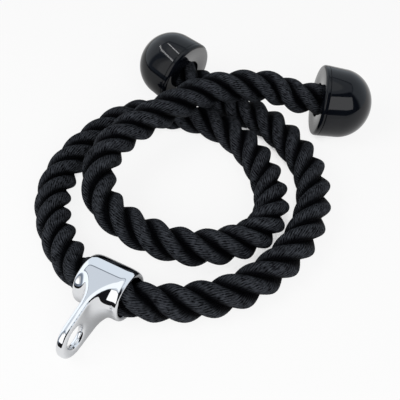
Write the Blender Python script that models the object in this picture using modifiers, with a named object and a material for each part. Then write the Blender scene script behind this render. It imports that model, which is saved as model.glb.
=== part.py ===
"""Triceps rope attachment.

One twisted rope runs through the collar of a cast metal bracket, and each end
of the rope is held in a domed plastic cap. The rope lies on the floor in a
loose loop and a half, as it is dropped. X runs along the collar, Y away from
the bracket's eye towards the loops, and Z up. The origin is on the floor under
the middle of the box round the bracket and the two caps. Lengths are metres.
"""

import math

import bmesh
import bpy
import numpy as np
from mathutils import Vector

# Clearances shared by every piece
touch_gap = 0.0003
cut_overrun = 0.002
weld_gap = 0.00001

# Rope
rope_diameter = 0.025
rope_fit = 0.0006
rope_lying_gap = 0.0001
collar_straight = 0.002
cap_straight = 0.015

# Bracket: the collar round the rope, and the lug with its eye. The hood is the
# part of the lug that goes over the collar. It stands proud of the collar on
# top, stays inside it below, and is rounded off towards both rims.
collar_length = 0.033
collar_wall = 0.00315
collar_rounding = 0.0012
collar_mouth_chamfer = 0.0008
hood_proud = 0.0012
hood_short = 0.0003
hood_rounding = 0.0034
lug_thickness = 0.0054
lug_reach = 0.038
lug_edge_rounding = 0.001
flare_radius = 0.0098
flare_raised = 0.0012
eye_radius = 0.0075
eye_wall = 0.0065
eye_chamfer = 0.0012

# Cap: a domed shell, closed by a base that the rope passes through
cap_radius = 0.0275
cap_length = 0.042
cap_shoulder = 0.017
cap_taper = 0.001
cap_wall = 0.003
base_thickness = 0.0035
base_rounding = 0.0022
spigot_depth = 0.005
spigot_wall = 0.0025

# Ferrule crimped on the rope's end, behind the cap's base
ferrule_wall = 0.0015
ferrule_length = 0.014
ferrule_flange_share = 0.4
ferrule_flange_thickness = 0.002
rope_past_ferrule = 0.002

# Where things lie: the collar from the origin, and each cap's face from the
# floor under the collar, with the way its dome points
collar_place_x = 0.00434
collar_place_y = -0.09965
long_cap_face = (0.0486, 0.2178)
long_cap_heading = math.radians(25.5)
long_cap_dip = math.radians(8)
short_cap_face = (-0.0562, 0.1973)
short_cap_heading = math.radians(169)
short_cap_dip = math.radians(-9)

# Routes of the rope's two arms, from the floor under the collar. Each runs
# from just outside the collar to just before its cap.
long_arm_route = [
    (-0.0290, 0.0040, 0.0150), (-0.0415, 0.0108, 0.0133), (-0.0555, 0.0206, 0.0126),
    (-0.0690, 0.0330, 0.0126), (-0.0795, 0.0470, 0.0126), (-0.0875, 0.0660, 0.0126),
    (-0.0905, 0.0900, 0.0126), (-0.0876, 0.1180, 0.0126), (-0.0795, 0.1435, 0.0126),
    (-0.0640, 0.1585, 0.0126), (-0.0460, 0.1675, 0.0126), (-0.0260, 0.1705, 0.0126),
    (-0.0055, 0.1675, 0.0126), (0.0155, 0.1595, 0.0126), (0.0430, 0.1382, 0.0130),
    (0.0555, 0.1210, 0.0142), (0.0625, 0.1048, 0.0155), (0.0635, 0.0902, 0.0165),
    (0.0595, 0.0771, 0.0175), (0.0485, 0.0632, 0.0185), (0.0331, 0.0515, 0.0195),
    (0.0107, 0.0447, 0.0212), (-0.0144, 0.0439, 0.0238), (-0.0357, 0.0501, 0.0265),
    (-0.0491, 0.0623, 0.0290), (-0.0572, 0.0801, 0.0320), (-0.0575, 0.1025, 0.0348),
    (-0.0510, 0.1220, 0.0370), (-0.0423, 0.1405, 0.0387), (-0.0335, 0.1595, 0.0397),
    (-0.0240, 0.1750, 0.0400), (-0.0115, 0.1872, 0.0400), (0.0045, 0.1982, 0.0390),
    (0.0200, 0.2066, 0.0358),
]
short_arm_route = [
    (0.0285, 0.0048, 0.0144), (0.0391, 0.0108, 0.0129), (0.0515, 0.0199, 0.0126),
    (0.0641, 0.0310, 0.0126), (0.0758, 0.0475, 0.0126), (0.0833, 0.0650, 0.0126),
    (0.0880, 0.0860, 0.0126), (0.0885, 0.1060, 0.0126), (0.0855, 0.1252, 0.0126),
    (0.0778, 0.1445, 0.0126), (0.0669, 0.1608, 0.0126), (0.0518, 0.1744, 0.0126),
    (0.0322, 0.1870, 0.0126), (0.0100, 0.1958, 0.0126), (-0.0100, 0.1970, 0.0134),
    (-0.0260, 0.1949, 0.0188),
]
long_arm_points = 52
short_arm_points = 28
bend_share = 1.2

# How finely round forms are drawn
bracket_turn_steps = 56
hood_steps = 44
tip_steps = 32
cap_turn_steps = 48
arc_steps = 8
corner_steps = 4
dome_steps = 12
hidden_dome_steps = 6
route_samples = 40

# Worked out from the sizes above
rope_radius = rope_diameter / 2
bore_radius = rope_radius + rope_fit
collar_radius = bore_radius + collar_wall
tip_radius = eye_radius + eye_wall
lug_dip = math.asin((collar_radius - tip_radius) / lug_reach)
hood_radius = collar_radius + (hood_proud - hood_short) / 2
hood_raised = (hood_proud + hood_short) / 2
shell_radius = cap_radius - cap_taper
spigot_radius = cap_radius - cap_wall - touch_gap
ferrule_start = base_thickness + touch_gap
rope_in_cap = ferrule_start + ferrule_length + rope_past_ferrule
collar_centre = Vector((collar_place_x, collar_place_y, collar_radius))


def clear_scene():
    """Remove every object, so that the model starts from nothing."""
    for item in list(bpy.data.objects):
        bpy.data.objects.remove(item, do_unlink=True)


def new_collection(name):
    """Make a collection under the scene."""
    collection = bpy.data.collections.new(name)
    bpy.context.scene.collection.children.link(collection)
    return collection


def make_material(name, colour, roughness, metallic=0.0, coat=0.0):
    """Make a plain material."""
    material = bpy.data.materials.new(name)
    material.use_nodes = True
    shader = material.node_tree.nodes["Principled BSDF"]
    shader.inputs["Base Color"].default_value = (*colour, 1)
    shader.inputs["Roughness"].default_value = roughness
    shader.inputs["Metallic"].default_value = metallic
    shader.inputs["Coat Weight"].default_value = coat
    return material


def arc(centre, radius, start, end, steps, rise=None):
    """Points on an arc, or on part of an ellipse where rise is its upright radius."""
    upright = radius if rise is None else rise
    turn = (end - start) / steps
    return [(centre[0] + radius * math.cos(start + turn * step),
             centre[1] + upright * math.sin(start + turn * step)) for step in range(steps + 1)]


def turned(name, profile, collection, steps=cap_turn_steps, closed=False):
    """Turn a profile of (radius, height) points, top to bottom, about local Z."""
    mesh = bpy.data.meshes.new(name)
    shape = bmesh.new()
    rim = [shape.verts.new((radius, 0, height)) for radius, height in profile]
    for first, second in zip(rim, rim[1:]):
        shape.edges.new((first, second))
    if closed:
        shape.edges.new((rim[-1], rim[0]))
    shape.to_mesh(mesh)
    shape.free()
    item = bpy.data.objects.new(name, mesh)
    collection.objects.link(item)
    screw = item.modifiers.new("turn", "SCREW")
    screw.axis = "Z"
    screw.angle = math.tau
    screw.steps = steps
    screw.render_steps = steps
    screw.use_merge_vertices = True
    screw.merge_threshold = weld_gap
    screw.use_smooth_shade = True
    return item


def solid_from_outline(name, outline, half_depth, rounding, collection):
    """Extrude a flat outline both ways, with its long edges rounded."""
    data = bpy.data.curves.new(name, "CURVE")
    data.dimensions = "2D"
    data.fill_mode = "BOTH"
    data.extrude = half_depth - rounding
    data.bevel_depth = rounding
    data.bevel_resolution = 2
    data.offset = -rounding
    spline = data.splines.new("POLY")
    spline.points.add(len(outline) - 1)
    for point, (across, up) in zip(spline.points, outline):
        point.co = (across, up, 0, 1)
    spline.use_cyclic_u = True
    curve = bpy.data.objects.new(name + "_outline", data)
    collection.objects.link(curve)
    bpy.context.view_layer.update()
    seen = curve.evaluated_get(bpy.context.evaluated_depsgraph_get())
    mesh = bpy.data.meshes.new_from_object(seen)
    shape = bmesh.new()
    shape.from_mesh(mesh)
    bmesh.ops.remove_doubles(shape, verts=shape.verts, dist=weld_gap)
    bmesh.ops.recalc_face_normals(shape, faces=shape.faces)
    shape.to_mesh(mesh)
    shape.free()
    mesh.name = name
    item = bpy.data.objects.new(name, mesh)
    item.matrix_world = curve.matrix_world
    collection.objects.link(item)
    bpy.data.objects.remove(curve, do_unlink=True)
    return item


def as_cutter(item):
    """Mark an object as a cutter: a wire that is never part of the model."""
    item.hide_render = True
    item.display_type = "WIRE"
    return item


def cut(item, tool, operation="DIFFERENCE"):
    """Cut an object by a tool, or keep only what they share."""
    boolean = item.modifiers.new(tool.name, "BOOLEAN")
    boolean.operation = operation
    boolean.solver = "EXACT"
    boolean.object = tool
    return boolean


def shade(item, angle=math.radians(35)):
    """Shade round faces smooth and keep sharp edges sharp."""
    item.data.shade_smooth()
    item.data.set_sharp_from_angle(angle=angle)


def mirrored_profile(upper):
    """Add the lower half of a profile that is alike above and below."""
    return upper + [(radius, -height) for radius, height in reversed(upper)]


def lug_outline():
    """Outline seen along the collar: the hood's circle and the tip's, joined by tangents."""
    lean = math.acos((hood_radius - tip_radius) / math.hypot(lug_reach, hood_raised))
    middle = math.pi + math.atan2(hood_raised, lug_reach)
    back = arc((0, hood_raised), hood_radius, middle + lean - math.tau, middle - lean,
               hood_steps)
    tip = arc((-lug_reach, 0), tip_radius, middle - lean, middle + lean, tip_steps)
    return back + tip


def build_bracket(parts, cutters, material):
    """The cast bracket: a collar, and a flat lug with an eye that flares out over it."""
    axis = bpy.data.objects.new("bracket_axis", None)
    axis.location = collar_centre
    axis.rotation_euler = (lug_dip, 0, 0)
    cutters.objects.link(axis)

    half_length = collar_length / 2
    half_plate = lug_thickness / 2
    plate_radius = lug_reach + tip_radius + cut_overrun
    upper = [(0, half_length + cut_overrun), (collar_radius, half_length + cut_overrun)]
    upper += arc((collar_radius + flare_radius, half_plate + flare_radius), flare_radius,
                 math.pi, 1.5 * math.pi, arc_steps)
    upper += [(plate_radius, half_plate)]
    bracket = turned("bracket", mirrored_profile(upper), parts,
                     bracket_turn_steps)
    bracket.rotation_euler = (0, math.pi / 2, 0)
    bracket.location = (0, 0, flare_raised)

    outline = solid_from_outline("bracket_outline", lug_outline(), half_length - touch_gap,
                                 hood_rounding, cutters)
    outline.rotation_euler = (math.pi / 2, 0, math.pi / 2)
    cut(bracket, as_cutter(outline), "INTERSECT")

    rim = arc((collar_radius - collar_rounding, half_length - collar_rounding), collar_rounding,
              math.pi / 2, 0, corner_steps)
    collar = turned("bracket_collar", mirrored_profile([(0, half_length)] + rim), cutters,
                    bracket_turn_steps)
    collar.rotation_euler = (0, math.pi / 2, 0)
    cut(bracket, as_cutter(collar), "UNION")

    mouth = bore_radius + collar_mouth_chamfer + cut_overrun
    bore_profile = [(0, half_length + cut_overrun), (mouth, half_length + cut_overrun),
                    (bore_radius, half_length - collar_mouth_chamfer)]
    bore = turned("bracket_bore", mirrored_profile(bore_profile), cutters,
                  bracket_turn_steps)
    bore.rotation_euler = (0, math.pi / 2, 0)
    cut(bracket, as_cutter(bore))

    eye_mouth = eye_radius + eye_chamfer + cut_overrun
    eye_profile = [(0, half_plate + cut_overrun), (eye_mouth, half_plate + cut_overrun),
                   (eye_radius, half_plate - eye_chamfer)]
    eye = turned("bracket_eye", mirrored_profile(eye_profile), cutters)
    eye.rotation_euler = (0, math.pi / 2, 0)
    eye.location = (0, -lug_reach, 0)
    cut(bracket, as_cutter(eye))

    edges = bracket.modifiers.new("edges", "BEVEL")
    edges.width = lug_edge_rounding
    edges.segments = 2
    edges.limit_method = "ANGLE"
    edges.angle_limit = math.radians(60)

    for item in (bracket, outline, collar, bore, eye):
        item.parent = axis
    bracket.data.materials.append(material)
    return bracket


def dome_profile():
    """The dome's outside, from its top down to its shoulder."""
    return arc((0, cap_shoulder), shell_radius, math.pi / 2, 0, dome_steps,
               rise=cap_length - cap_shoulder)


def face_corner():
    """The rounding between a cap's side and its face."""
    return arc((cap_radius - base_rounding, base_rounding), base_rounding,
               0, -math.pi / 2, corner_steps)


def resting_height(dip):
    """How high a cap's face centre is when the tilted cap lies on the floor."""
    return max(radius * math.cos(dip) + height * math.sin(dip)
               for radius, height in dome_profile() + face_corner()) + rope_lying_gap


def cap_pose(face, heading, dip):
    """Where a cap's face centre is, and the direction from it to the dome."""
    centre = Vector((collar_place_x + face[0], collar_place_y + face[1], resting_height(dip)))
    direction = Vector((math.cos(heading) * math.cos(dip),
                        math.sin(heading) * math.cos(dip), -math.sin(dip)))
    return centre, direction


def place_on_axis(item, pose):
    """Set a turned piece on a cap's axis, its local Z towards the dome."""
    centre, direction = pose
    item.location = centre
    item.rotation_mode = "QUATERNION"
    item.rotation_quaternion = direction.to_track_quat("Z", "Y")


def build_cap_shell(name, pose, collection, material):
    """The hollow dome."""
    seam = base_thickness + touch_gap
    lost = cap_taper * seam / cap_shoulder
    outer = dome_profile() + [(cap_radius - lost, seam)]
    mouth = cap_radius - cap_wall
    inner = [(mouth, seam), (mouth, base_thickness + spigot_depth + touch_gap)]
    inner += arc((0, cap_shoulder), shell_radius - cap_wall, 0, math.pi / 2, hidden_dome_steps,
                 rise=cap_length - cap_shoulder - cap_wall)
    shell = turned(name, outer + inner, collection)
    shade(shell)
    shell.data.materials.append(material)
    place_on_axis(shell, pose)
    return shell


def build_cap_base(name, pose, collection, material):
    """The disc that closes the dome, with its spigot and the rope's hole."""
    lost = cap_taper * base_thickness / cap_shoulder
    spigot_top = base_thickness + spigot_depth
    profile = [(spigot_radius, spigot_top), (spigot_radius, base_thickness),
               (cap_radius - lost, base_thickness)]
    profile += face_corner()
    profile += [(bore_radius, 0), (bore_radius, base_thickness),
                (spigot_radius - spigot_wall, base_thickness),
                (spigot_radius - spigot_wall, spigot_top)]
    base = turned(name, profile, collection, closed=True)
    shade(base)
    base.data.materials.append(material)
    place_on_axis(base, pose)
    return base


def build_ferrule(name, pose, collection, material):
    """The sleeve crimped on the rope's end, with the flange that holds the cap."""
    inner = rope_radius + touch_gap
    sleeve = inner + ferrule_wall
    flange = sleeve + ferrule_flange_share * (spigot_radius - spigot_wall - sleeve)
    top = ferrule_start + ferrule_length
    step = ferrule_start + ferrule_flange_thickness
    profile = [(inner, top), (sleeve, top), (sleeve, step), (flange, step),
               (flange, ferrule_start), (inner, ferrule_start)]
    ferrule = turned(name, profile, collection, closed=True)
    shade(ferrule)
    ferrule.data.materials.append(material)
    place_on_axis(ferrule, pose)
    return ferrule


def smooth_curve(points, first_way, last_way):
    """A cubic spline through the points that starts and ends in the given ways."""
    points = np.array(points, float)
    runs = np.linalg.norm(np.diff(points, axis=0), axis=1)
    count = len(points)
    matrix = np.zeros((count, count))
    right = np.zeros((count, 3))
    slopes = np.diff(points, axis=0) / runs[:, None]
    matrix[0, :2] = (2 * runs[0], runs[0])
    right[0] = 6 * (slopes[0] - first_way)
    matrix[-1, -2:] = (runs[-1], 2 * runs[-1])
    right[-1] = 6 * (last_way - slopes[-1])
    for row in range(1, count - 1):
        matrix[row, row - 1:row + 2] = (runs[row - 1], 2 * (runs[row - 1] + runs[row]), runs[row])
        right[row] = 6 * (slopes[row] - slopes[row - 1])
    bend = np.linalg.solve(matrix, right)
    pieces = []
    for row in range(count - 1):
        part = np.linspace(0, 1, route_samples, endpoint=False)[:, None]
        along, back = part * runs[row], (1 - part) * runs[row]
        pieces.append(bend[row] * (back ** 3 / runs[row] - back * runs[row]) / 6
                      + bend[row + 1] * (along ** 3 / runs[row] - along * runs[row]) / 6
                      + points[row] * (1 - part) + points[row + 1] * part)
    pieces.append(points[-1:])
    return np.vstack(pieces)


def even_points(curve, count):
    """Points spread along a curve, closer together where it bends."""
    steps = np.diff(curve, axis=0)
    runs = np.linalg.norm(steps, axis=1)
    ways = steps / runs[:, None]
    turns = np.arccos(np.clip((ways[1:] * ways[:-1]).sum(axis=1), -1, 1))
    weights = runs + bend_share * rope_radius * np.append(turns, 0)
    reach = np.append(0, np.cumsum(weights))
    marks = np.linspace(0, reach[-1], count)
    return np.column_stack([np.interp(marks, reach, curve[:, axis]) for axis in range(3)])


def arm_route(side, inner_points, pose):
    """One arm's centre line: out of the collar, along the floor and into its cap."""
    centre, direction = pose
    way_out = np.array((side, 0, 0), float)
    middle = np.array(collar_centre)
    start = middle + way_out * touch_gap / 2
    leaving = middle + way_out * (collar_length / 2 + collar_straight)
    floor_point = np.array((collar_place_x, collar_place_y, 0))
    arriving = np.array(centre - direction * cap_straight)
    end = np.array(centre + direction * rope_in_cap)
    through = [leaving] + [floor_point + np.array(point) for point in inner_points] + [arriving]
    return start, smooth_curve(through, way_out, np.array(direction)), end


def build_arm(name, side, inner_points, count, pose, collection, material):
    """One arm of the rope, a plain round tube along its route."""
    start, curve, end = arm_route(side, inner_points, pose)
    points = np.vstack([start, even_points(curve, count - 2), end])
    data = bpy.data.curves.new(name, "CURVE")
    data.dimensions = "3D"
    data.bevel_depth = rope_radius
    data.bevel_resolution = 4
    data.use_fill_caps = True
    spline = data.splines.new("POLY")
    spline.points.add(len(points) - 1)
    for point, place in zip(spline.points, points):
        point.co = (*place, 1)
    arm = bpy.data.objects.new(name, data)
    collection.objects.link(arm)
    data.materials.append(material)
    length = np.linalg.norm(np.diff(points, axis=0), axis=1).sum()
    print(name, "length", round(length, 4), "points", len(points))
    return arm


def main():
    """Build the whole attachment."""
    clear_scene()
    parts = new_collection("triceps_rope_attachment")
    cutters = new_collection("cutters")

    chrome = make_material("bracket_chrome", (0.78, 0.79, 0.81), 0.06, metallic=1.0)
    build_bracket(parts, cutters, chrome)

    arms = (("long", -1, long_arm_route, long_arm_points,
             (long_cap_face, long_cap_heading, long_cap_dip)),
            ("short", 1, short_arm_route, short_arm_points,
             (short_cap_face, short_cap_heading, short_cap_dip)))
    for arm_name, side, route, count, place in arms:
        pose = cap_pose(*place)
        rope = make_material(arm_name + "_rope", (0.010, 0.011, 0.013), 0.65)
        plastic = make_material(arm_name + "_cap_plastic", (0.012, 0.013, 0.016), 0.12, coat=0.5)
        disc = make_material(arm_name + "_base_plastic", (0.014, 0.015, 0.018), 0.15, coat=0.5)
        steel = make_material(arm_name + "_ferrule_steel", (0.55, 0.55, 0.57), 0.35, metallic=1.0)
        build_arm("rope_" + arm_name + "_arm", side, route, count, pose, parts, rope)
        build_ferrule(arm_name + "_arm_ferrule", pose, parts, steel)
        build_cap_base(arm_name + "_arm_cap_base", pose, parts, disc)
        build_cap_shell(arm_name + "_arm_cap_shell", pose, parts, plastic)


main()
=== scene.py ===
# %% [markdown]
# # Triceps rope attachment
# A pull rope for a cable machine: one thick three-strand rope runs through the
# collar of a chromed bracket, and each end is held in a domed plastic cap. It
# lies on the floor in a loose loop and a half. The plain solids of the object
# are loaded first, and everything made below is built round them, in metres.

# %% Load the plain solids
import math

import bpy
import numpy as np
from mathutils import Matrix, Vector


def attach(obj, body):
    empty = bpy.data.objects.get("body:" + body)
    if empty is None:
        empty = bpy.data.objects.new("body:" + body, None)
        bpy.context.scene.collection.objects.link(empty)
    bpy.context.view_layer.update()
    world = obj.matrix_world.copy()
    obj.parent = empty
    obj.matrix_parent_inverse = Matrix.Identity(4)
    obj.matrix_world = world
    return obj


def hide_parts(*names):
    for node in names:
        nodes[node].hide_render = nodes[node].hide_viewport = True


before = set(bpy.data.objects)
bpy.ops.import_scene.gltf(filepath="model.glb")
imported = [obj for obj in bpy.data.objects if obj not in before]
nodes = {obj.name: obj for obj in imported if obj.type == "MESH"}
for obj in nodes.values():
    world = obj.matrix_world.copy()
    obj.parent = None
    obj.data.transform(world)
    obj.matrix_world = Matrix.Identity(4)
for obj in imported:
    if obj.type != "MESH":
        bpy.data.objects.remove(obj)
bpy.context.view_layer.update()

print("solids:", sorted(nodes))

# %% [markdown]
# ## The camera
# The object is seen from the bracket's side and well above it, with a long
# lens. A camera could be aimed at the object with a constraint, but it is
# easier to keep exact when it is given by two angles and a place, because each
# of the three can then be read off the picture alone.

# %% Set the camera
picture_side = 400
focal_pixels = 670
sensor_mm = 36
nearest_seen = 0.01
camera_place = Vector((0.1704, -0.2814, 0.3639))
camera_azimuth = math.radians(29)
camera_elevation = math.radians(48)

bpy.ops.object.camera_add(location=camera_place,
                          rotation=(math.pi / 2 - camera_elevation, 0, camera_azimuth))
camera = bpy.context.object
camera.name = "camera"
camera.data.sensor_width = sensor_mm
camera.data.lens = sensor_mm * focal_pixels / picture_side
camera.data.clip_start = nearest_seen
bpy.context.scene.camera = camera
print("lens in mm:", round(camera.data.lens, 1))

# %% [markdown]
# ## Where the rope lies
# A rope keeps its length, so its middle line comes before its looks. The line
# is a smooth curve through points along the floor, over the first turn where
# the rope crosses itself, and into the cap. A Bezier curve would do as well,
# but a cubic curve that leaves and arrives in given directions needs no
# handles, and a rope can't turn sharply where it comes out of the collar.

# %% Sizes and places shared by the rope, the bracket and the caps
rope_diameter = 0.025
rope_radius = rope_diameter / 2
bore_radius = rope_radius + 0.0006
collar_length = 0.033
collar_radius = bore_radius + 0.00315
collar_centre = Vector((0.00434, -0.09965, collar_radius))
floor_point = np.array((collar_centre.x, collar_centre.y, 0))

cap_radius = 0.0275
cap_length = 0.042
cap_shoulder = 0.017
cap_taper = 0.001
cap_wall = 0.003
base_thickness = 0.0035
touch_gap = 0.0003
rope_in_cap = 0.0198

cap_faces = {"long": Vector((0.05294, 0.11815, 0.028938)),
             "short": Vector((-0.05186, 0.09765, 0.026917))}
cap_ways = {"long": Vector((0.893801, 0.426321, -0.139173)),
            "short": Vector((-0.969542, 0.188460, 0.156434))}
print("collar radius in mm:", round(1000 * collar_radius, 2))

# %% Points along the rope, from the floor under the collar
arm_points = {
    "long": [
        (-0.0290, 0.0040, 0.0150), (-0.0415, 0.0108, 0.0133), (-0.0555, 0.0206, 0.0126),
        (-0.0690, 0.0330, 0.0126), (-0.0795, 0.0470, 0.0126), (-0.0875, 0.0660, 0.0126),
        (-0.0905, 0.0900, 0.0126), (-0.0876, 0.1180, 0.0126), (-0.0795, 0.1435, 0.0126),
        (-0.0640, 0.1585, 0.0126), (-0.0460, 0.1672, 0.0126), (-0.0260, 0.1702, 0.0126),
        (-0.0050, 0.1682, 0.0126), (0.0159, 0.1601, 0.0126), (0.0430, 0.1382, 0.0130),
        (0.0555, 0.1210, 0.0142), (0.0625, 0.1048, 0.0155), (0.0635, 0.0902, 0.0165),
        (0.0595, 0.0771, 0.0175), (0.0485, 0.0632, 0.0185), (0.0331, 0.0515, 0.0195),
        (0.0107, 0.0447, 0.0212), (-0.0144, 0.0439, 0.0238), (-0.0357, 0.0501, 0.0265),
        (-0.0491, 0.0623, 0.0290), (-0.0572, 0.0801, 0.0320), (-0.0575, 0.1025, 0.0348),
        (-0.0510, 0.1220, 0.0370), (-0.0423, 0.1405, 0.0387), (-0.0335, 0.1595, 0.0397),
        (-0.0240, 0.1750, 0.0400), (-0.0115, 0.1872, 0.0400), (0.0045, 0.1982, 0.0390),
        (0.0200, 0.2066, 0.0358),
    ],
    "short": [
        (0.0285, 0.0048, 0.0144), (0.0391, 0.0108, 0.0129), (0.0515, 0.0199, 0.0126),
        (0.0641, 0.0310, 0.0126), (0.0758, 0.0475, 0.0126), (0.0833, 0.0650, 0.0126),
        (0.0880, 0.0860, 0.0126), (0.0885, 0.1060, 0.0126), (0.0855, 0.1252, 0.0126),
        (0.0778, 0.1445, 0.0126), (0.0669, 0.1608, 0.0126), (0.0518, 0.1744, 0.0126),
        (0.0320, 0.1866, 0.0126), (0.0096, 0.1943, 0.0126), (-0.0103, 0.1955, 0.0134),
        (-0.0260, 0.1946, 0.0195),
    ],
}
arm_sides = {"long": -1, "short": 1}
collar_straight = 0.002
cap_straight = 0.015
print("points:", {arm: len(points) for arm, points in arm_points.items()})


# %% A smooth curve through points
def smooth_line(points, first_way, last_way, samples=40):
    """A cubic curve through the points that starts and ends in the given ways."""
    points = np.array(points, float)
    runs = np.linalg.norm(np.diff(points, axis=0), axis=1)
    slopes = np.diff(points, axis=0) / runs[:, None]
    count = len(points)
    matrix = np.zeros((count, count))
    right = np.zeros((count, 3))
    matrix[0, :2] = (2 * runs[0], runs[0])
    right[0] = 6 * (slopes[0] - first_way)
    matrix[-1, -2:] = (runs[-1], 2 * runs[-1])
    right[-1] = 6 * (last_way - slopes[-1])
    for row in range(1, count - 1):
        matrix[row, row - 1:row + 2] = (runs[row - 1], 2 * (runs[row - 1] + runs[row]), runs[row])
        right[row] = 6 * (slopes[row] - slopes[row - 1])
    bend = np.linalg.solve(matrix, right)
    pieces = []
    for row in range(count - 1):
        part = np.linspace(0, 1, samples, endpoint=False)[:, None]
        along, back, run = part * runs[row], (1 - part) * runs[row], runs[row]
        pieces.append(bend[row] * (back ** 3 / run - back * run) / 6
                      + bend[row + 1] * (along ** 3 / run - along * run) / 6
                      + points[row] * (1 - part) + points[row + 1] * part)
    pieces.append(points[-1:])
    return np.vstack(pieces)


# %% The middle line of each arm
def arm_line(arm, step):
    """An arm's middle line from the collar's middle to its end in the cap, evenly spaced."""
    way_out = np.array((arm_sides[arm], 0, 0), float)
    direction = np.array(cap_ways[arm])
    face = np.array(cap_faces[arm])
    leaving = np.array(collar_centre) + way_out * (collar_length / 2 + collar_straight)
    through = [leaving] + [floor_point + np.array(point) for point in arm_points[arm]]
    through.append(face - direction * cap_straight)
    line = np.vstack([np.array(collar_centre) + way_out * touch_gap / 2,
                      smooth_line(through, way_out, direction),
                      face + direction * rope_in_cap])
    along = np.append(0, np.cumsum(np.linalg.norm(np.diff(line, axis=0), axis=1)))
    marks = np.linspace(0, along[-1], round(along[-1] / step) + 1)
    return np.column_stack([np.interp(marks, along, line[:, axis]) for axis in range(3)]), marks


for arm in arm_points:
    print(arm, "arm in m:", round(arm_line(arm, step=0.001)[1][-1], 4))

# %% [markdown]
# ## The rope
# Three fat strands are laid round each other like the thread of a screw. A bump
# on a smooth tube would be cheaper, but it leaves the outline straight, and the
# deep dark grooves between the strands are what one sees first, so the strands
# are real tubes. A strand bulges outwards and is pressed flat against its
# neighbours inside, so its section is an egg: a long half oval on the outside
# and a short one towards the rope's middle. Each tube carries its own UV map,
# along and round the strand in metres, for the yarns to follow. A used rope's
# lay is never quite even, so a strand may run some millimetres ahead of its
# place or behind it.

# %% The section of a strand
lay_length = 2.25 * rope_diameter
strand_count = 3
strand_out = 0.58 * rope_radius
strand_in = 0.36 * rope_radius
strand_wide = 0.44 * rope_radius
strand_offset = rope_radius - strand_out
section_sides = 32
strand_step = 0.0015

angles = np.linspace(0, math.tau, section_sides + 1)
section_out = np.cos(angles) * np.where(np.cos(angles) > 0, strand_out, strand_in)
section_side = np.sin(angles) * strand_wide
round_it = np.append(0, np.cumsum(np.hypot(np.diff(section_out), np.diff(section_side))))
print("round one strand in mm:", round(1000 * round_it[-1], 1))

# %% How far the lay runs ahead of its place, at distances along each arm
lay_drift = {
    "long": (
        (0.05, -0.006), (0.07, -0.0045), (0.09, -0.0015), (0.13, 0.0005), (0.2, -0.0015),
        (0.25, 0.001), (0.29, -0.004), (0.35, -0.0055), (0.378, -0.0025), (0.404, 0.0035),
        (0.42, 0.0075), (0.45, 0.009), (0.52, 0.009), (0.55, 0.006), (0.59, 0.009),
        (0.62, 0.01), (0.69, 0.006), (0.735, 0.008),
    ),
    "short": (
        (0.115, -0.0085), (0.16, -0.0095), (0.2, -0.011), (0.25, -0.0125), (0.29, -0.0125),
        (0.325, -0.0075),
    ),
}
drift_spread = 17


def lay_turns(arm, marks):
    """How far round the rope the first strand is, at marks along the rope."""
    places, drifts = np.array(lay_drift[arm]).T
    spread = np.hanning(drift_spread)
    padded = np.pad(np.interp(marks, places, drifts), drift_spread // 2, mode="edge")
    return math.tau * (marks + np.convolve(padded, spread / spread.sum(), "valid")) / lay_length


for arm, drift in lay_drift.items():
    print(arm, "arm's widest drift in mm:", 1000 * max(abs(ahead) for _, ahead in drift))


# %% Lay the strands round a line
def carried_frames(line):
    """A side and an upward direction at each point, carried along the line without twist."""
    ways = np.gradient(line, axis=0)
    ways /= np.linalg.norm(ways, axis=1)[:, None]
    side = np.cross(ways[0], (0, 0, 1))
    sides = []
    for way in ways:
        side = side - way * (side @ way)
        side /= np.linalg.norm(side)
        sides.append(side)
    sides = np.array(sides)
    return sides, np.cross(ways, sides)


def strand_rings(line, turn):
    """Rings of points round one strand, with the distance along it."""
    sides, ups = carried_frames(line)
    outward = sides * np.cos(turn)[:, None] + ups * np.sin(turn)[:, None]
    middle = line + outward * strand_offset
    strand_ways = np.gradient(middle, axis=0)
    along = np.append(0, np.cumsum(np.linalg.norm(np.diff(middle, axis=0), axis=1)))
    strand_ways /= np.linalg.norm(strand_ways, axis=1)[:, None]
    across = np.cross(strand_ways, outward)
    rings = (middle[:, None] + outward[:, None] * section_out[None, :, None]
             + across[:, None] * section_side[None, :, None])
    return rings, along


def lay_rope(name, line, turns):
    """One mesh of three closed strands, with a UV map in metres."""
    corners, faces, places = [], [], []
    for strand in range(strand_count):
        rings, along = strand_rings(line, turns + math.tau * strand / strand_count)
        first = len(corners)
        corners += [tuple(point) for ring in rings for point in ring[:-1]]
        for row in range(len(rings) - 1):
            for step in range(section_sides):
                after = (step + 1) % section_sides
                here, ahead = first + row * section_sides, first + (row + 1) * section_sides
                faces.append((here + step, here + after, ahead + after, ahead + step))
                places += [(along[row], round_it[step]), (along[row], round_it[step + 1]),
                           (along[row + 1], round_it[step + 1]), (along[row + 1], round_it[step])]
        last = first + (len(rings) - 1) * section_sides
        faces.append(tuple(first + step for step in reversed(range(section_sides))))
        faces.append(tuple(last + step for step in range(section_sides)))
        places += [(0, 0)] * (2 * section_sides)
    mesh = bpy.data.meshes.new(name)
    mesh.from_pydata(corners, [], faces)
    mesh.uv_layers.new(name="strands")
    mesh.uv_layers["strands"].data.foreach_set("uv", np.array(places, np.float32).ravel())
    mesh.shade_smooth()
    piece = bpy.data.objects.new(name, mesh)
    bpy.context.scene.collection.objects.link(piece)
    print(name, len(faces), "faces")
    return piece


# %% Make both arms and say what they are
ropes = {}
for arm in arm_points:
    line, marks = arm_line(arm, strand_step)
    rope = lay_rope("strands_" + arm + "_arm", line, lay_turns(arm, marks))
    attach(rope, "rope")
    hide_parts("rope_" + arm + "_arm")
    ropes[arm] = rope

# %% [markdown]
# ## Tools for the other pieces
# Every piece below is made as by hand: a primitive is added, shaped in edit
# mode, and finished with modifiers. An operator acts on all that is selected,
# so the first helper leaves one object selected and nothing else.


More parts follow.
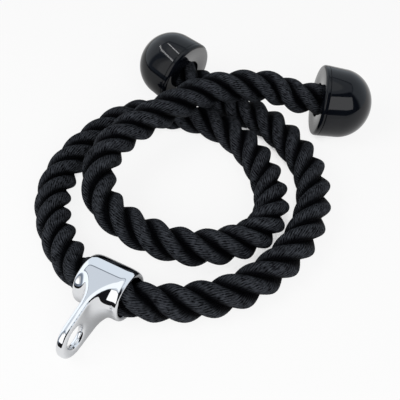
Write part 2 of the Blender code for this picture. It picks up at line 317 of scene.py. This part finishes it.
# %% Helpers for selecting, shaping and finishing
def only(piece):
    """Select one object and nothing else."""
    bpy.ops.object.select_all(action="DESELECT")
    piece.select_set(True)
    bpy.context.view_layer.objects.active = piece


def edit_all(piece):
    """Go into edit mode on one object, with everything in it selected."""
    only(piece)
    bpy.ops.object.mode_set(mode="EDIT")
    bpy.ops.mesh.select_mode(type="VERT")
    bpy.ops.mesh.select_all(action="SELECT")


def choose(piece, kind, test):
    """Select the edges whose ends pass a test, or the faces whose middle does, in edit mode."""
    bpy.ops.mesh.select_all(action="DESELECT")
    bpy.ops.mesh.select_mode(type=kind)
    bpy.ops.object.mode_set(mode="OBJECT")
    mesh = piece.data
    if kind == "EDGE":
        for edge in mesh.edges:
            edge.select = all(test(mesh.vertices[corner].co) for corner in edge.vertices)
    else:
        for face in mesh.polygons:
            face.select = test(face.center)
    bpy.ops.object.mode_set(mode="EDIT")


def apply_modifier(piece, kind, **settings):
    """Add a modifier with its settings and apply it."""
    only(piece)
    made = piece.modifiers.new(kind.lower(), kind)
    for setting, value in settings.items():
        setattr(made, setting, value)
    bpy.ops.object.modifier_apply(modifier=made.name)


# %% [markdown]
# ## The bracket
# The real bracket is one casting, ground and chromed, so no edge on it is
# sharp: they are all rounded to a millimetre or two. The plain solid has the
# right form with crisp edges. A bevel would catch the small edges of its round
# surfaces too, so a copy of it is given an even skin of small faces and then
# smoothed, which rounds every edge at once, as grinding does.

# %% Copy the bracket and round its edges
weld_distance = 0.00001
skin_voxel = 0.0004
rounding_passes = 40

bracket = bpy.data.objects.new("cast_bracket", nodes["bracket"].data.copy())
bpy.context.scene.collection.objects.link(bracket)
edit_all(bracket)
bpy.ops.mesh.remove_doubles(threshold=weld_distance)
bpy.ops.object.mode_set(mode="OBJECT")
apply_modifier(bracket, "REMESH", mode="VOXEL", voxel_size=skin_voxel)
edit_all(bracket)
bpy.ops.mesh.vertices_smooth(factor=0.5, repeat=rounding_passes)
bpy.ops.object.mode_set(mode="OBJECT")
bracket.data.shade_smooth()
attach(bracket, "bracket")
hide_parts("bracket")
print("bracket faces:", len(bracket.data.polygons))

# %% [markdown]
# ## The caps
# Each cap is a hollow dome, closed by a disc with the rope's hole in it. Both
# could be spun from a drawn profile, but a ball and a cylinder are already
# nearly there. The dome starts as a ball, flattened a little and cut in half,
# and its rim is drawn down to the seam. The disc is a short cylinder with a hole
# bridged through it. Both are made upright at the origin and then set on the
# rope's end.

# %% The dome
round_sides = 96
dome_rings = 48
rim_rounding = 0.0004
rim_angle = math.radians(50)
level_with = 1e-6


def make_dome(name):
    """A hollow dome that stands on the seam, its axis along Z."""
    shell_radius = cap_radius - cap_taper
    seam = base_thickness + touch_gap
    bpy.ops.object.select_all(action="DESELECT")
    bpy.ops.mesh.primitive_uv_sphere_add(segments=round_sides, ring_count=dome_rings, radius=1)
    dome = bpy.context.object
    dome.name = name
    edit_all(dome)
    bpy.ops.transform.resize(value=(shell_radius, shell_radius, cap_length - cap_shoulder))
    bpy.ops.mesh.bisect(plane_co=(0, 0, 0), plane_no=(0, 0, 1), clear_inner=True)
    bpy.ops.mesh.select_all(action="SELECT")
    bpy.ops.transform.translate(value=(0, 0, cap_shoulder))
    choose(dome, "EDGE", lambda point: point.z < cap_shoulder + level_with)
    bpy.ops.mesh.extrude_region_move(
        TRANSFORM_OT_translate={"value": (0, 0, seam - cap_shoulder)})
    widened = (cap_radius - cap_taper * seam / cap_shoulder) / shell_radius
    bpy.ops.transform.resize(value=(widened, widened, 1), center_override=(0, 0, seam))
    bpy.ops.object.mode_set(mode="OBJECT")
    apply_modifier(dome, "SOLIDIFY", thickness=cap_wall, offset=-1)
    apply_modifier(dome, "BEVEL", width=rim_rounding, segments=3, limit_method="ANGLE",
                   angle_limit=rim_angle)
    print(name, len(dome.data.polygons), "faces")
    return dome


# %% The disc that closes it
spigot_radius = cap_radius - cap_wall - touch_gap
spigot_wall = 0.0025
spigot_depth = 0.005
base_rounding = 0.0022
hole_rounding = 0.0005
on_axis = 1e-4
by_hole = 1e-5


def from_axis(point):
    """How far a point is from the cap's axis."""
    return math.hypot(point.x, point.y)


def make_disc(name):
    """The disc with the rope's hole and the spigot that holds the dome."""
    outer = cap_radius - cap_taper * base_thickness / cap_shoulder
    bpy.ops.object.select_all(action="DESELECT")
    bpy.ops.mesh.primitive_cylinder_add(vertices=round_sides, radius=outer, depth=base_thickness,
                                        end_fill_type="NGON", location=(0, 0, base_thickness / 2))
    disc = bpy.context.object
    disc.name = name
    bpy.ops.object.transform_apply(location=True, rotation=False, scale=False)
    edit_all(disc)
    choose(disc, "FACE", lambda point: abs(point.z - base_thickness) < level_with)
    bpy.ops.mesh.inset(thickness=outer - spigot_radius)
    bpy.ops.mesh.inset(thickness=spigot_wall)
    bpy.ops.mesh.inset(thickness=spigot_radius - spigot_wall - bore_radius)
    choose(disc, "FACE", lambda point: point.z < level_with)
    bpy.ops.mesh.inset(thickness=outer - bore_radius)
    choose(disc, "FACE", lambda point: from_axis(point) < on_axis)
    bpy.ops.mesh.bridge_edge_loops()
    ring = spigot_radius - spigot_wall / 2
    choose(disc, "FACE", lambda point: abs(point.z - base_thickness) < level_with
           and abs(from_axis(point) - ring) < spigot_wall / 3)
    bpy.ops.mesh.extrude_region_move(TRANSFORM_OT_translate={"value": (0, 0, spigot_depth)})
    choose(disc, "EDGE", lambda point: point.z < level_with
           and from_axis(point) > cap_radius - cap_wall)
    bpy.ops.mesh.bevel(offset=base_rounding, segments=8, profile=0.5)
    choose(disc, "EDGE", lambda point: point.z < level_with
           and from_axis(point) < bore_radius + by_hole)
    bpy.ops.mesh.bevel(offset=hole_rounding, segments=3)
    bpy.ops.object.mode_set(mode="OBJECT")
    print(name, len(disc.data.polygons), "faces")
    return disc


# %% Set both on the ends of the rope
def set_on_rope(piece, arm):
    """Move an upright cap piece onto its arm's end, and keep its place in its mesh."""
    only(piece)
    piece.rotation_mode = "QUATERNION"
    piece.rotation_quaternion = cap_ways[arm].to_track_quat("Z", "Y")
    piece.location = cap_faces[arm]
    bpy.ops.object.transform_apply(location=True, rotation=True, scale=True)
    bpy.ops.object.shade_smooth_by_angle(angle=math.radians(35))


caps = []
for arm in arm_points:
    for piece, node in ((make_dome(arm + "_arm_dome"), "_arm_cap_shell"),
                        (make_disc(arm + "_arm_disc"), "_arm_cap_base")):
        set_on_rope(piece, arm)
        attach(piece, arm + "_arm_cap")
        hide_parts(arm + node)
        caps.append(piece)
print("cap pieces:", [piece.name for piece in caps])

# %% [markdown]
# ## Finishes
# Each finish is written as sums. A small class wraps one output of a shader
# node, so that `ridge * 0.5 + grain` adds the Math nodes that it says, and one
# method adds any other node. Adding each node in a line of its own would make
# the same trees, but nobody could read the sum in them.


# %% Sums on shader values
class Value:
    """One output of a shader node, used in sums."""

    def __init__(self, maker, socket):
        self.nodes = maker
        self.socket = socket

    def sum(self, operation, first, second=None):
        made = self.nodes.node("ShaderNodeMath", {"operation": operation}, {0: first})
        if second is not None:
            self.nodes.feed(made.inputs[1], second)
        return Value(self.nodes, made.outputs[0])

    def __add__(self, other):
        return self.sum("ADD", self, other)

    def __sub__(self, other):
        return self.sum("SUBTRACT", self, other)

    def __rsub__(self, other):
        return self.sum("SUBTRACT", other, self)

    def __mul__(self, other):
        return self.sum("MULTIPLY", self, other)

    __radd__ = __add__
    __rmul__ = __mul__

    def sine(self):
        return self.sum("SINE", self)

    def most(self, other):
        return self.sum("MAXIMUM", self, other)

    def step(self, low, high):
        """Rise smoothly from 0 where the value is low to 1 where it is high."""
        made = self.nodes.node("ShaderNodeMapRange", {"interpolation_type": "SMOOTHSTEP"},
                               {"Value": self, "From Min": low, "From Max": high})
        return Value(self.nodes, made.outputs[0])

    def between(self, low, high, soft):
        """1 where the value lies between two others, with soft edges."""
        return (self.step(low - soft, low + soft)
                * (1 - self.step(high - soft, high + soft)))


# %% A node tree that grows as sums ask for nodes
class Nodes:
    """A node tree, with one method that adds any node."""

    def __init__(self, tree):
        self.tree = tree

    def feed(self, socket, value):
        """Link a value into a socket, or set the socket's own number or colour."""
        if isinstance(value, Value):
            self.tree.links.new(value.socket, socket)
        elif isinstance(value, bpy.types.NodeSocket):
            self.tree.links.new(value, socket)
        else:
            socket.default_value = value

    def node(self, kind, settings=None, sockets=None):
        """Add a node with its settings, and feed its sockets."""
        made = self.tree.nodes.new(kind)
        for setting, value in (settings or {}).items():
            setattr(made, setting, value)
        for socket, value in (sockets or {}).items():
            self.feed(made.inputs[socket], value)
        return made

    def values(self, kind, settings=None, sockets=None):
        """Add a node and give its outputs as values."""
        return [Value(self, socket) for socket in self.node(kind, settings, sockets).outputs]

    def axes(self, place):
        """The X, Y and Z of a vector, as values."""
        return self.values("ShaderNodeSeparateXYZ", {}, {0: place})

    def blend(self, share, first, second):
        """A mix of two colours by a share."""
        made = self.node("ShaderNodeMix", {"data_type": "RGBA"})
        self.feed(made.inputs["Factor"], share)
        self.feed(made.inputs[6], first)
        self.feed(made.inputs[7], second)
        return made.outputs[2]

    def noise(self, place, scale, detail, flat=False):
        """Soft random values at a place, in two or three dimensions."""
        return self.values("ShaderNodeTexNoise", {"noise_dimensions": "2D" if flat else "3D"},
                           {"Vector": place, "Scale": scale, "Detail": detail})[0]

    def light_path(self):
        """Two values: 1 for the camera's rays, and 1 for mirror rays."""
        seen = self.node("ShaderNodeLightPath")
        return (Value(self, seen.outputs["Is Camera Ray"]),
                Value(self, seen.outputs["Is Glossy Ray"]))


# %% A material whose shader is fed by sums
bump_depth = 0.0005


class Finish(Nodes):
    """A material, with its shader at hand."""

    def __init__(self, name, **constants):
        self.material = bpy.data.materials.new(name)
        self.material.use_nodes = True
        super().__init__(self.material.node_tree)
        self.shader = self.tree.nodes["Principled BSDF"]
        for socket, value in constants.items():
            self.set(socket, value)

    def set(self, socket, value):
        """Feed one socket of the shader, named with lower lines for spaces."""
        self.feed(self.shader.inputs[socket.replace("_", " ")], value)

    def object_place(self):
        """The place on the object, as a vector."""
        return self.node("ShaderNodeTexCoord").outputs["Object"]

    def bump(self, height):
        """A bump that feeds the shader's normal."""
        made = self.node("ShaderNodeBump", {}, {"Strength": 1.0, "Distance": bump_depth,
                                                "Height": height})
        self.set("Normal", made.outputs[0])

    def paint(self, *pieces):
        """Give pieces this finish and no other."""
        for piece in pieces:
            piece.data.materials.clear()
            piece.data.materials.append(self.material)
        print(self.material.name, "on", [piece.name for piece in pieces])


# %% [markdown]
# ### Rope fibre
# Each strand is a bundle of yarns that are twisted against the lay, so on the
# outside they run nearly along the rope. They show as fine ridges. Modelled
# yarns would need far too many faces, so they are a bump and a change of colour
# that follow the strand's own UV map. The fibre is matt, and where two strands
# press together no light gets in, so the colour falls to black towards the
# sides of a strand.

# %% The rope's finish
yarn_pitch = 0.0020
yarn_lean = 1.4
fibre_black = (0.0005, 0.0005, 0.001, 1)
fibre_grey = (0.050, 0.055, 0.065, 1)

fibre = Finish("rope_fibre", Roughness=0.7, Specular_IOR_Level=0.05)
strand_place = fibre.node("ShaderNodeUVMap", {"uv_map": "strands"}).outputs[0]
along_strand, round_strand, _ = fibre.axes(strand_place)
wander = fibre.noise(strand_place, scale=70, detail=1, flat=True)
across_yarns = round_strand + along_strand * yarn_lean
ridge = (across_yarns * (math.tau / yarn_pitch) + wander * 6).sine() * 0.5 + 0.5
stretched = fibre.node("ShaderNodeCombineXYZ", {}, {0: along_strand * 0.5, 1: across_yarns})
fibres = fibre.noise(stretched.outputs[0], scale=900, detail=2, flat=True)
patch = fibre.noise(strand_place, scale=260, detail=1, flat=True)
fibre.bump(ridge * 1.3 + fibres * 1.6)
facing = (round_strand * (math.tau / round_it[-1]) + math.pi / 2).sine()
open_side = facing.step(0.2, 0.92)
light = ridge * 0.5 + (fibres - 0.5) * 2.1 + (patch - 0.5) * 0.9 + 0.27
shade = light.most(0.0) * (open_side * 0.98 + 0.02)
fibre.set("Base_Color", fibre.blend(shade, fibre_black, fibre_grey))
fibre.paint(*ropes.values())

# %% [markdown]
# ### Chrome, plastic and steel
# The bracket's plating is a clean mirror. Modelling the marks of the casting
# under it would spoil the rounded edges, so they are a bump: the faintest waves
# all over, and fine streaks along the lug, where it was ground. The caps are
# smooth moulded plastic with a hard shine. The ferrules in the caps are plain
# drawn steel.

# %% Chrome
neck_start = -0.122

chrome = Finish("bracket_chrome", Metallic=1.0, Base_Color=(0.80, 0.81, 0.83, 1))
place = chrome.object_place()
right, back, _ = chrome.axes(place)
waves = chrome.noise(place, scale=70, detail=1)
neck = 1 - back.step(neck_start - 0.006, neck_start + 0.002)
ground = chrome.node("ShaderNodeCombineXYZ", {}, {0: right, 1: back * 0.06})
streaks = chrome.noise(ground.outputs[0], scale=420, detail=1, flat=True)
chrome.bump(waves * 0.1 + streaks * neck * 0.4)
chrome.set("Roughness", waves * 0.03 + 0.015)
chrome.paint(bracket)

# %% Plastic
plastic_dark = (0.0015, 0.002, 0.0035, 1)
plastic_light = (0.004, 0.005, 0.0075, 1)

plastic = Finish("cap_plastic", Specular_IOR_Level=0.28)
speck = plastic.noise(plastic.object_place(), scale=60, detail=4)
plastic.set("Roughness", speck * 0.06 + 0.05)
plastic.set("Base_Color", plastic.blend(speck, plastic_dark, plastic_light))
plastic.paint(*caps)

# %% Steel
steel_dark = (0.45, 0.45, 0.46, 1)
steel_light = (0.60, 0.60, 0.61, 1)

steel = Finish("ferrule_steel", Metallic=1.0)
drawn = steel.noise(steel.object_place(), scale=400, detail=2)
steel.set("Roughness", drawn * 0.2 + 0.25)
steel.set("Base_Color", steel.blend(drawn, steel_dark, steel_light))
steel.paint(*(nodes[arm + "_arm_ferrule"] for arm in arm_points))

# %% [markdown]
# ## The studio
# The object lies on a white floor. More light would make the floor white, but it
# would bleach the object too. So to the camera most of the floor's white is its
# own, and the rest comes from the lamps, which keeps the shadow. In the narrow
# gaps between the ropes the floor stays dark. A mirror sees the floor as well:
# black in front of the bracket, as past the edge of a table, brightest behind
# it, and with painted shade where little light gets in near the pieces.

# %% Floor
floor_size = 8
floor_front = -0.24
white_near = 0.86
crevice_depth = 0.03

bpy.ops.object.select_all(action="DESELECT")
bpy.ops.mesh.primitive_plane_add(size=floor_size, location=(0, 0, 0))
floor = bpy.context.object
floor.name = "studio_floor"

sweep = Finish("white_sweep", Roughness=0.9, Base_Color=(0.95, 0.95, 0.95, 1),
               Specular_IOR_Level=0.0)
by_eye, by_mirror = sweep.light_path()
right, back, _ = sweep.axes(sweep.object_place())
open_floor = sweep.values("ShaderNodeAmbientOcclusion", {"samples": 8},
                          {"Distance": crevice_depth})[1]
far_off = (right * right + back * back).step(0.25, 1.5)
behind = right.step(-0.05, -0.02) * back.step(-0.02, 0.04)
white_share = by_eye * (open_floor.step(0.03, 0.14) * white_near + far_off * (1 - white_near))
mirror_share = by_mirror * (behind * 0.75 + 0.2)
# Mirrors see the floor black in front, and darker where little light gets in near the pieces:
# painted shade.
front_and_painted_shade = by_mirror * (1 - back.step(floor_front - 0.01, floor_front + 0.01)
                          * (open_floor.step(0.2, 0.9) * 0.45 + 0.55))
white = sweep.node("ShaderNodeEmission", {"label": "seen as white"})
# This dark emission stands for the floor in front and for the painted shade near the pieces.
dark = sweep.node("ShaderNodeEmission", {"label": "in front"}, {"Strength": 0.01})
lit = sweep.node("ShaderNodeMixShader", {}, {0: white_share + mirror_share,
                                             1: sweep.shader.outputs[0], 2: white.outputs[0]})
both = sweep.node("ShaderNodeMixShader", {}, {0: front_and_painted_shade, 1: lit.outputs[0],
                                              2: dark.outputs[0]})
sweep.feed(sweep.tree.nodes["Material Output"].inputs["Surface"], both.outputs[0])
sweep.paint(floor)

# %% [markdown]
# ### Lamps
# A large soft box at the front right gives most of the light, and a small one
# at the front left keeps the shadows open. The shines on the caps are mirrored
# lamps. Cards and tubes could be modelled instead, but every mirror would show
# them, and a lamp can be linked to the one piece that shows it.


# %% Helpers for the lamps
def way_to(azimuth, elevation):
    """The direction of a place in the room, from two angles in degrees."""
    turn, rise = math.radians(azimuth), math.radians(elevation)
    return Vector((-math.sin(turn) * math.cos(rise), math.cos(turn) * math.cos(rise),
                   math.sin(rise)))


def soft_lamp(name, aim, way, distance, sides, watts):
    """A rectangular lamp in a direction from a place, pointed at it."""
    bpy.ops.object.light_add(type="AREA", location=aim + way * distance)
    lamp = bpy.context.object
    lamp.name = name
    lamp.rotation_mode = "QUATERNION"
    lamp.rotation_quaternion = way.to_track_quat("Z", "Y")
    lamp.data.shape = "RECTANGLE"
    lamp.data.size, lamp.data.size_y = sides
    lamp.data.energy = watts
    lamp.visible_camera = False
    print(name, "at", [round(side, 3) for side in lamp.location])
    return lamp


def show_only_to(lamp, name):
    """Let a lamp be mirrored in one piece, and light nothing else."""
    shown_to = bpy.data.collections.new(lamp.name + "_shown_to")
    shown_to.objects.link(bpy.data.objects[name])
    lamp.light_linking.receiver_collection = shown_to
    lamp.visible_diffuse = False


# %% Two soft boxes that light the object, and no mirror sees
middle = Vector((0, 0, 0))
upright = Vector((0, 0, 1))

key = soft_lamp("key_lamp", middle, way_to(-138, 36), distance=2.0, sides=(1.27, 1.55), watts=26)
fill = soft_lamp("fill_lamp", middle, way_to(140, 50), distance=0.9, sides=(0.5, 0.5), watts=2.4)
key.visible_glossy = False
fill.visible_glossy = False

# %% A card for the right dome, and a glow from the table for the left disc
card = soft_lamp("cap_card", cap_faces["long"], way_to(-137, 33), distance=0.14,
                 sides=(0.15, 0.09), watts=0.09)
show_only_to(card, "long_arm_dome")
glow = soft_lamp("table_glow", Vector((-0.045, 0.155, 0)), upright, distance=0.0002,
                 sides=(0.09, 0.09), watts=0.029)
glow.rotation_quaternion = (0, 1, 0, 0)
show_only_to(glow, "short_arm_disc")

# %% Three light tubes over the left dome: across, along, width and length
tube_height = 0.25
tube_radiance = 17
tubes = ((-0.07, -0.12, 0.024, 0.85), (-0.508, -0.15, 0.024, 1.2), (-0.555, -0.15, 0.018, 1.2))

for number, (across, along, width, length) in enumerate(tubes):
    place = Vector(((across + along), (across - along), 0)) * (math.sqrt(0.5) * tube_height)
    sides = (length * tube_height, width * tube_height)
    lamp = soft_lamp("tube_" + str(number), cap_faces["short"] + place, upright, tube_height,
                     sides, tube_radiance * math.pi * sides[0] * sides[1])
    lamp.rotation_mode = "XYZ"
    lamp.rotation_euler = (0, 0, -math.pi / 4)
    show_only_to(lamp, "short_arm_dome")

# %% [markdown]
# ### The room
# The chrome and the caps are mirrors, and a mirror shows nothing but its
# surroundings. Walls and cards could be modelled round the object, but they
# would shade it and stand in the way in other views. So mirror rays get a room
# of their own, painted on the world by direction: pale walls that are brighter
# on the left, a blue-grey ceiling, and in front a white card between a grey
# cloth and a black one. It adds no light to the rope or the floor, which get an
# even grey instead.

# %% The room's colours
wall = (0.84, 0.92, 1.0, 1)
bright_wall = (1.15, 1.22, 1.3, 1)
ceiling = (0.72, 0.78, 0.85, 1)
zenith = (1.15, 1.2, 1.23, 1)
ceiling_edge = (0.25, 0.28, 0.32, 1)
cloth = (0.01, 0.01, 0.012, 1)
grey_cloth = (0.22, 0.26, 0.32, 1)
grey_card = (0.6, 0.61, 0.62, 1)
white_card = (1.3, 1.3, 1.3, 1)
even_grey = (0.27, 0.27, 0.27, 1)
pure_white = (1, 1, 1, 1)

# %% Paint the room: turn is in degrees from the front, rise is 1 overhead
world = bpy.data.worlds.new("studio")
bpy.context.scene.world = world
world.use_nodes = True
room = Nodes(world.node_tree)
right, back, rise = room.axes(room.node("ShaderNodeTexCoord").outputs["Generated"])
turn = right.sum("ARCTAN2", right, back * -1) * (180 / math.pi)

walls = room.blend(turn.between(-125, -62, 6), wall, bright_wall)
cloths = room.blend(turn.step(-40, -20), grey_cloth, cloth)
cards = room.blend(turn.step(-41, -35), grey_card, white_card)
shown = room.blend(rise.step(0.81, 0.83), walls, ceiling)
shown = room.blend(rise.step(0.915, 0.935), shown, zenith)
shown = room.blend(rise.between(0.80, 0.83, 0.004), shown, ceiling_edge)
shown = room.blend(turn.between(-60, 98, 7) * (1 - rise.step(0.86, 0.88)), shown, cloths)
shown = room.blend(turn.between(-45, 14, 1) * rise.between(0.17, 0.85, 0.01), shown, cards)
by_eye, by_mirror = room.light_path()
plain = room.blend(by_eye, even_grey, pure_white)
room.feed(room.tree.nodes["Background"].inputs["Color"], room.blend(by_mirror, plain, shown))
bpy.context.scene.view_settings.view_transform = "Standard"
print("room nodes:", len(room.tree.nodes))
